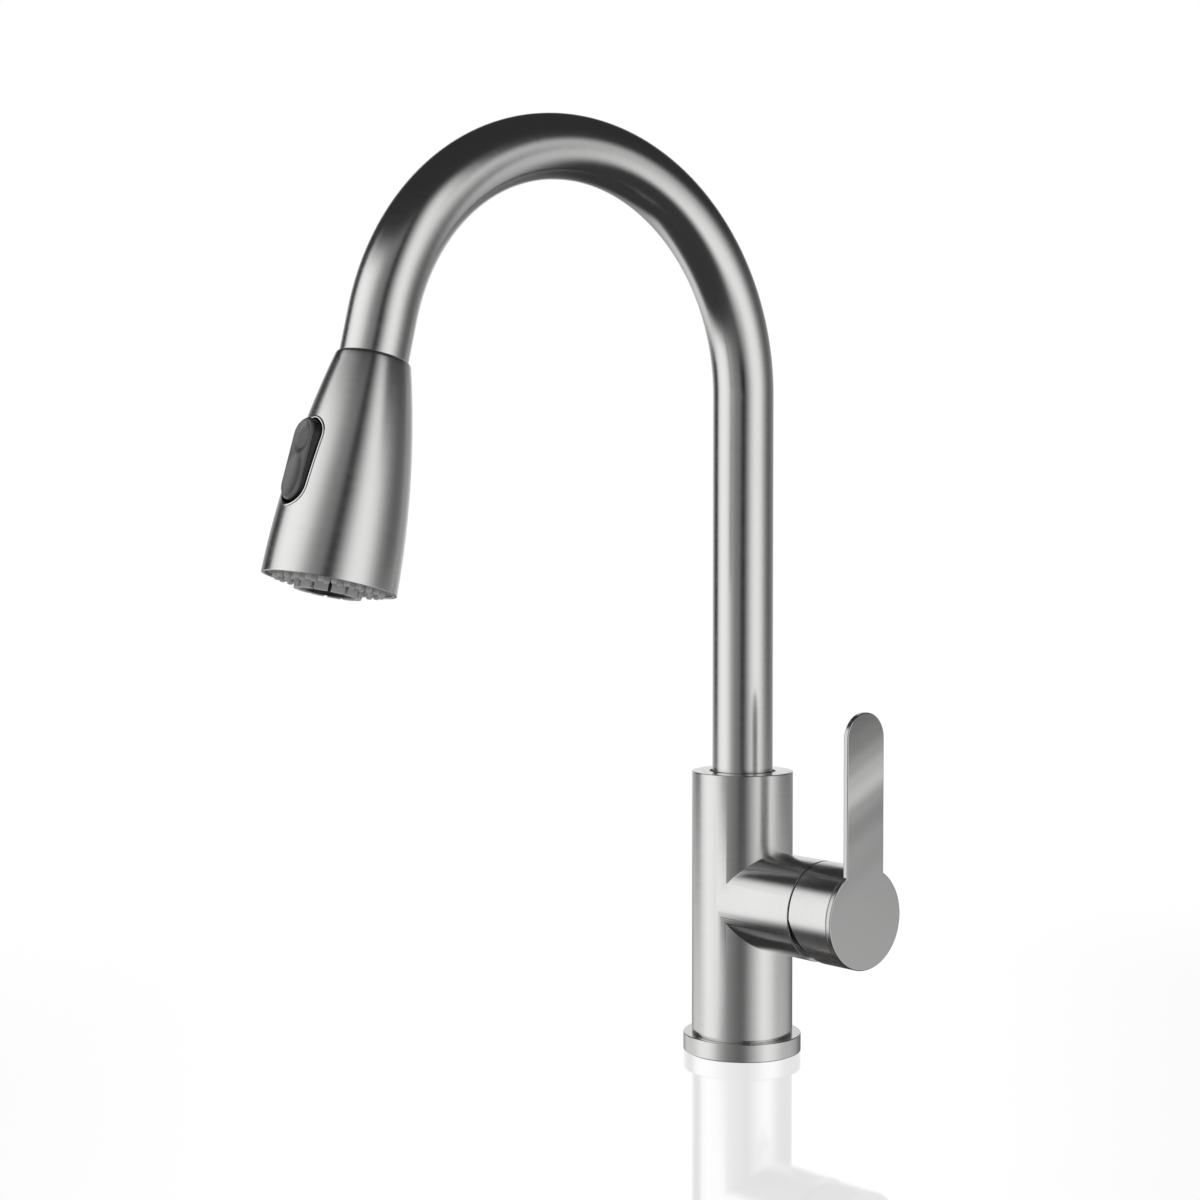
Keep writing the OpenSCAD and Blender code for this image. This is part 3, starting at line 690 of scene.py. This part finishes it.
def make_hoses():
    """The hose in three stretches: in the body, in the spout, and the end that pulls out."""
    joins_at, gap = 112, 0.1
    path, length = gooseneck(joins_at)
    length -= 17
    hose = points_2d((0, 0), (HOSE_R, 0), (HOSE_R, length), (0, length))
    dressed(turned("hose_upper_skin", divided(hose, 3, closed=False), path, steps=48,
                   closed=False), "spout", hose_skin, ["hose_upper"])

    bend_from, bend_len = 68, 42

    def rising(z):
        bend = min(max((z - bend_from) / bend_len, 0), 1)
        x = HOSE_X * (1 + math.cos(math.pi * bend)) / 2
        return Vector((x, 0, z)) * MM, X_AXIS * MM, Vector((0, MM, 0))

    low, high = -90, joins_at - gap
    lower = points_2d((0, low), (HOSE_R, low), (HOSE_R, high), (0, high))
    dressed(turned("hose_lower_skin", divided(lower, 3, closed=False), rising, steps=48,
                   closed=False), "faucet_body", hose_skin, ["hose_lower"])
    start, stop = -17.2, -8
    stretch = points_2d((0, start), (HOSE_R, start), (HOSE_R, stop), (0, stop))
    end = turned("hose_end_skin", divided(stretch, 0.1, closed=False), straight(HEAD), steps=32,
                 closed=False)
    end.data.shade_smooth()
    end.data.materials.append(hose_end_skin)
    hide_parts("hose_end")
    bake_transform(end)


# ---- Spray head ----


def stadium(length, width, caps=24, sides=12):
    """Points round a flat outline with two round ends, as (x, z), and the spine point of each."""
    r = width / 2
    reach = length / 2 - r
    made = []
    for side in (1, -1):
        for k in range(caps):
            turn = math.pi * k / caps
            made.append((Vector((r * math.cos(turn), r * math.sin(turn) + reach)) * side,
                         Vector((0, reach)) * side))
        for k in range(sides):
            z = reach * (1 - 2 * k / sides)
            made.append((Vector((-r, z)) * side, Vector((0, z)) * side))
    return made


def lofted(name, rings, place, caps=(False, False)):
    """A skin over rings of points, in a place's millimetres."""
    count = len(rings[0])
    points = [place @ Vector(p) for ring in rings for p in ring]
    faces = []
    for i in range(len(rings) - 1):
        for k in range(count):
            n = (k + 1) % count
            faces.append([i * count + k, i * count + n, (i + 1) * count + n, (i + 1) * count + k])
    if caps[0]:
        faces.append(list(range(count)))
    if caps[1]:
        faces.append(list(range((len(rings) - 1) * count, len(rings) * count)))
    return mesh_object(name, points, faces, merge=1e-6)


def on_shell(x, s, grow=0.0):
    """The shell's surface over a point beside the head's axis."""
    r = shell_r(s) + grow
    return math.sqrt(max(r * r - x * x, 0))


def make_shell():
    top, mouth_r = 0.3, 12.1
    side = [Vector((shell_r(s), s)) for s in
            [top + 1.2 + (HEAD_LEN - 1.8 - top) * i / 48 for i in range(49)]]
    shoulder = fillet([(mouth_r, top), (shell_r(top) - 0.1, top, 0.9), tuple(side[0])], 0.2,
                      closed=False)
    rim = fillet([tuple(side[-1]), (shell_r(HEAD_LEN), HEAD_LEN, 0.35),
                  (shell_r(HEAD_LEN) - SHELL_WALL, HEAD_LEN, 0.35),
                  (shell_r(HEAD_LEN - 4) - SHELL_WALL, HEAD_LEN - 4, 0)], 0.2, closed=False)
    inside = [Vector((shell_r(s) - SHELL_WALL, s)) for s in
              [HEAD_LEN - 5 - (HEAD_LEN - 9) * i / 24 for i in range(25)]]
    profile = shoulder[:-1] + side[:-1] + rim + inside + points_2d((mouth_r, 3.5))
    shell = turned("head_shell_skin", profile, straight(HEAD), steps=192)
    outline = stadium(OPENING_LEN, OPENING_W)
    cutter = lofted("opening", [[(p.x, y, p.y + BUTTON_S) for p, spine in outline]
                                for y in (10, 40)], HEAD, caps=(True, True))
    combined(shell, cutter, "DIFFERENCE")
    dressed(shell, "spray_head", brushed, ["head_shell"])
    lip_r = 0.6
    rings = []
    for k in range(13):
        turn = TAU * k / 12
        ring = []
        for p, spine in outline:
            out = (p - spine).normalized() * (lip_r * math.cos(turn) - 0.1)
            x, s = p.x + out.x, p.y + out.y + BUTTON_S
            ring.append((x, on_shell(x, s) - 0.22 + lip_r * math.sin(turn), s))
        rings.append(ring)
    # The lip is smoother and lighter than the shell: real polish plus a painted highlight on the edge.
    dressed(lofted("opening_lip", rings, HEAD), "spray_head", polished_and_highlight)


def make_bezel():
    """The dark frame between the shell's opening and the rocker."""
    inner = stadium(35.6, 14.9)
    outer = stadium(OPENING_LEN - 0.3, OPENING_W - 0.3)
    rings = []
    for outline, drop in ((outer, 8.0), (outer, 0.1), (outer, -0.15), (inner, -0.15),
                          (inner, 0.1), (inner, 9.0)):
        rings.append([(p.x, on_shell(p.x, p.y + BUTTON_S) - drop, p.y + BUTTON_S)
                      for p, spine in outline])
    dressed(lofted("button_bezel_skin", rings, HEAD), "spray_head", black,
            ["button_bezel"])


def make_button():
    """The rocker, with its two finger dimples."""
    face, back, edge = 8.9, -3.0, 0.9
    outline = stadium(33.6, 14.0, caps=32, sides=24)
    dimples = [(-8.6, 5.3, 6.6, 1.3), (7.0, 5.4, 8.6, 0.6)]

    def height(x, z):
        low = 0.0
        for middle, half_w, half_len, depth in dimples:
            off = (x / half_w) ** 2 + ((z - middle) / half_len) ** 2
            low = max(low, depth * max(0.0, 1 - off))
        return face - low

    rings = []
    grid = 30
    half = 7.0
    for i in range(grid + 1):
        share = (i / grid) * (half - edge) / half
        rings.append([])
        for p, spine in outline:
            x, z = spine + (p - spine) * share
            rings[-1].append((x, height(x, z), z))

    def level(inset, drop):
        """The outline, moved in from the rocker's edge and down from its face."""
        return [(q.x, face - drop, q.y) for q in
                (spine + (p - spine) * (half - inset) / half for p, spine in outline)]

    rings += [level(0.75, 0.12), level(0.28, 0.55), level(0.2, 0.7)]
    dressed(lofted("spray_button_skin", rings, BUTTON, caps=(False, True)),
            "rocker", button_dark, ["spray_button"], sharp=28)
    # The rocker's side walls are a separate skin in near-black plastic, darker than its grey face: painted shade
    # on walls that fall in shadow.
    sides = [level(0.2, 0.72), level(0.0, 0.9), level(0.0, face - back)]
    dressed(lofted("spray_button_painted_shade_sides", sides, BUTTON, caps=(True, True)),
            "rocker", black, sharp=28)


def make_spray_face():
    """The rubber mat with a nub round every nozzle."""
    plate_top, nub_base, tip, nub_r = 88.0, 90.5, 94.0, 1.3
    mat = turned("nozzle_mat_skin", fillet([(12.2, plate_top - 2), (24.4, plate_top - 2),
                                            (24.4, plate_top - 0.1), (12.2, plate_top - 0.1)], 0.3),
                 straight(HEAD))
    dressed(mat, "spray_head", nub_rubber, ["nozzle_mat"])
    nub = fillet([(0, nub_base, 0), (nub_r, nub_base, 0), (nub_r, tip - 0.9, 0.3),
                  (nub_r - 0.3, tip, 0.25), (0.45, tip, 0.1), (0.4, tip - 1, 0),
                  (0, tip - 1, 0)], 0.1, steps=3, closed=False)
    for ring, (count, reach) in enumerate(((26, 21.3), (20, 16.5))):
        for i in range(count):
            turn = Matrix.Rotation(TAU * i / count, 4, "Z")
            at = HEAD @ turn @ Matrix.Translation((reach, 0, 0))
            dressed(turned(f"nub_{ring}_{i:02d}", nub, straight(at), steps=20, closed=False),
                    "spray_head", nub_rubber)


def make_notched_ring():
    """The boxy ring round the aerator, as its separate blocks."""
    inner, outer, low, high, blocks = 11.05, 13.55, 91.0, 96.35, 12
    points, faces = [], []
    for i in range(blocks):
        start = len(points)
        for k in range(7):
            turn = math.radians((i + 0.5) * 360 / blocks + 12.2 * (k / 3 - 1))
            for r, s in ((inner, low), (outer, low), (outer, high), (inner, high)):
                points.append(HEAD @ Vector((r * math.cos(turn), r * math.sin(turn), s)))
        for k in range(6):
            a = start + 4 * k
            faces += [[a + j, a + (j + 1) % 4, a + 4 + (j + 1) % 4, a + 4 + j]
                      for j in range(4)]
        faces += [[start + j for j in (3, 2, 1, 0)], [start + 24 + j for j in range(4)]]
    ring = mesh_object("notched_ring", points, faces)
    rounded(ring, 0.3, 3)
    dressed(ring, "spray_head", nub_rubber)


def make_aerator():
    end, r = 96.2, 9.4
    profile = fillet([(3, 84.1, 0), (r, 84.1, 0), (r, end, 0.7), (7.8, end, 0.3),
                      (7.8, end - 4, 0), (3, end - 4, 0)], 0.2)
    dressed(turned("aerator_housing_skin", profile, straight(HEAD), steps=96),
            "spray_head", black, ["aerator_housing"])


def make_docking_nose():
    """The head's collar, whose nose seats in the spout's end."""
    nose_top, nose_r = -12.0, 11.3
    profile = fillet([(6.5, nose_top), (nose_r - 0.9, nose_top), (nose_r, nose_top + 1.8),
                      (nose_r, -8.0), (nose_r - 0.7, -7.6), (nose_r - 0.7, -5.6),
                      (nose_r, -5.2), (nose_r, 0.35, 0), (12, 0.35, 0.1), (12, 3.6, 0),
                      (13.2, 3.6, 0), (13.2, 7, 0), (8.2, 7, 0), (8.2, -2, 0), (6.5, -2, 0)],
                     0.3)
    dressed(turned("head_collar_skin", profile, straight(HEAD)),
            "spray_head", black, ["head_collar"])


# ---- Floor and light ----


def make_floor():
    """A pale floor that mirrors the base faintly near it."""
    size = 30
    mirror, full_to, none_from = 0.30, 0.24, 0.6  # its share, and the metres over which it fades
    made_up = 0.25  # extra white for what the mirror takes away
    mesh = bpy.data.meshes.new("floor")
    corners = [(-size, -size, 0), (size, -size, 0), (size, size, 0), (-size, size, 0)]
    mesh.from_pydata(corners, [], [(0, 1, 2, 3)])
    floor = bpy.data.objects.new("floor", mesh)
    bpy.context.scene.collection.objects.link(floor)
    material = bpy.data.materials.new("floor")
    material.use_nodes = True
    tree = material.node_tree
    tree.nodes.clear()
    gloss = add(tree, "ShaderNodeBsdfGlossy", {"Color": (1, 1, 1, 1), "Roughness": 0.04})
    away = add(tree, "ShaderNodeVectorMath", {0: coordinates(tree, "Object")},
               operation="LENGTH").outputs["Value"]
    share = smooth_range(tree, away, full_to, none_from, mirror, 0.0)
    strength = math_node(tree, "MULTIPLY_ADD", share, made_up, 1.0)
    glow = add(tree, "ShaderNodeEmission", {"Color": (1, 1, 1, 1), "Strength": strength})
    mixed = add(tree, "ShaderNodeMixShader", {0: share, 1: glow.outputs[0], 2: gloss.outputs[0]})
    output = add(tree, "ShaderNodeOutputMaterial")
    tree.links.new(mixed.outputs[0], output.inputs[0])
    mesh.materials.append(material)
    floor.visible_glossy = False


# Tone round the horizon: degrees from the camera's side, positive to its right, and brightness
STUDIO = [
    (-180, 1.00), (-165, 0.75), (-150, 0.42), (-141, 0.25), (-136, 0.01), (-116, 0.01),
    (-111, 0.90), (-92, 1.15), (-70, 1.10), (-60, 0.88), (-50, 0.52), (-42, 0.36),
    (-34, 0.26), (-15, 0.20), (-12, 0.01), (2, 0.005), (5, 0.12), (18, 0.52), (29, 0.92),
    (44, 1.08), (62, 1.00), (72, 0.76), (80, 0.50), (90, 0.26), (102, 0.14), (116, 0.13),
    (128, 0.22), (143, 0.32), (155, 0.50), (168, 0.80), (180, 1.00),
]

# The same, below the horizon
STUDIO_LOW = [
    (-180, 0.14), (-164, 0.35), (-140, 0.80), (-125, 0.78), (-108, 0.85), (-92, 1.15),
    (-70, 1.10), (-60, 0.88), (-50, 0.52), (-34, 0.26), (-11, 0.15), (0, 0.15), (18, 0.50),
    (44, 1.08), (62, 0.95), (80, 0.62), (106, 0.58), (123, 0.45), (145, 0.18), (165, 0.14),
    (180, 0.14),
]

# Where those lights end: degrees, then the sines of the heights at which they start and stop
# to fade, above the horizon and below it
LIMITS = [
    (-180, 0.34, 0.52, 0.30, 0.60), (-162, 0.30, 0.48, 0.50, 0.80),
    (-145, 0.16, 0.38, 0.74, 0.96), (-124, 0.28, 0.48, 0.46, 0.76),
    (-110, 0.50, 0.70, 0.26, 0.54), (-60, 0.60, 0.80, 0.24, 0.53),
    (0, 0.65, 0.85, 0.30, 0.60), (36, 0.55, 0.78, 0.40, 0.70), (50, 0.42, 0.68, 0.40, 0.70),
    (64, 0.22, 0.50, 0.40, 0.70), (84, 0.14, 0.46, 0.40, 0.72), (145, 0.08, 0.40, 0.40, 0.70),
    (163, 0.30, 0.48, 0.34, 0.64), (180, 0.34, 0.52, 0.30, 0.60),
]

DARK_ABOVE, DARK_BELOW = 0.034, 0.045  # brightness past those ends
STRIPE_LEAN = 0.58  # how far the dark stripe leans to the right, in radians at the zenith


def round_horizon(tree, share, stops):
    """A ramp over the whole turn, from stops in degrees."""
    return ramp(tree, share, [((degrees + 180) / 360, *values) for degrees, *values in stops])


def make_world():
    """A plain studio: soft lights to both sides, with the dark gaps between them."""
    world = bpy.data.worlds.new("studio")
    bpy.context.scene.world = world
    world.use_nodes = True
    tree = world.node_tree
    tree.nodes.clear()
    way = coordinates(tree, "Generated")
    facing, across, up = [dot(tree, way, axis)
                          for axis in (TO_CAMERA, CAMERA_RIGHT, Vector((0, 0, 1)))]
    down = math_node(tree, "MULTIPLY", up, -1.0)
    turn = math_node(tree, "ARCTAN2", across, facing)
    lean = math_node(tree, "MULTIPLY", math_node(tree, "MAXIMUM", up, 0.0),
                     smooth_range(tree, facing, 0.2, 0.8, 0.0, -STRIPE_LEAN))
    share = add(tree, "ShaderNodeMapRange", {0: math_node(tree, "ADD", turn, lean),
                                             1: -math.pi, 2: math.pi, 3: 0.0, 4: 1.0}).outputs[0]
    low = smooth_range(tree, down, 0.05, 0.24)
    tones = add(tree, "ShaderNodeMix", {0: low, 6: round_horizon(tree, share, STUDIO).outputs[0],
                                        7: round_horizon(tree, share, STUDIO_LOW).outputs[0]},
                data_type="RGBA")
    tone = tones.outputs[2]
    limits = round_horizon(tree, share, LIMITS)
    split = add(tree, "ShaderNodeSeparateColor", {0: limits.outputs[0]})
    above = smooth_range(tree, up, split.outputs[0], split.outputs[1])
    below = smooth_range(tree, down, split.outputs[2], limits.outputs[1])
    for fade, dim in ((below, DARK_BELOW), (above, DARK_ABOVE)):
        faded = add(tree, "ShaderNodeMix", {0: fade, 6: tone, 7: (dim, dim, dim, 1)},
                    data_type="RGBA")
        tone = faded.outputs[2]
    light = add(tree, "ShaderNodeBackground", {"Color": tone})
    white = add(tree, "ShaderNodeBackground", {"Color": (1, 1, 1, 1)})
    seen = add(tree, "ShaderNodeLightPath").outputs["Is Camera Ray"]
    mixed = add(tree, "ShaderNodeMixShader", {0: seen, 1: light.outputs[0], 2: white.outputs[0]})
    output = add(tree, "ShaderNodeOutputWorld")
    tree.links.new(mixed.outputs[0], output.inputs[0])
    bpy.context.scene.view_settings.view_transform = "Standard"


make_camera()
make_world()
make_floor()
finish_cad_nodes()
make_base_ring()
make_body()
make_top_bushing()
make_shank()
make_deck_clamp()
make_mounting_nut()
make_couplings()
make_hub()
make_lever()
make_spout()
make_hoses()
make_shell()
make_bezel()
make_button()
make_spray_face()
make_notched_ring()
make_aerator()
make_docking_nose()
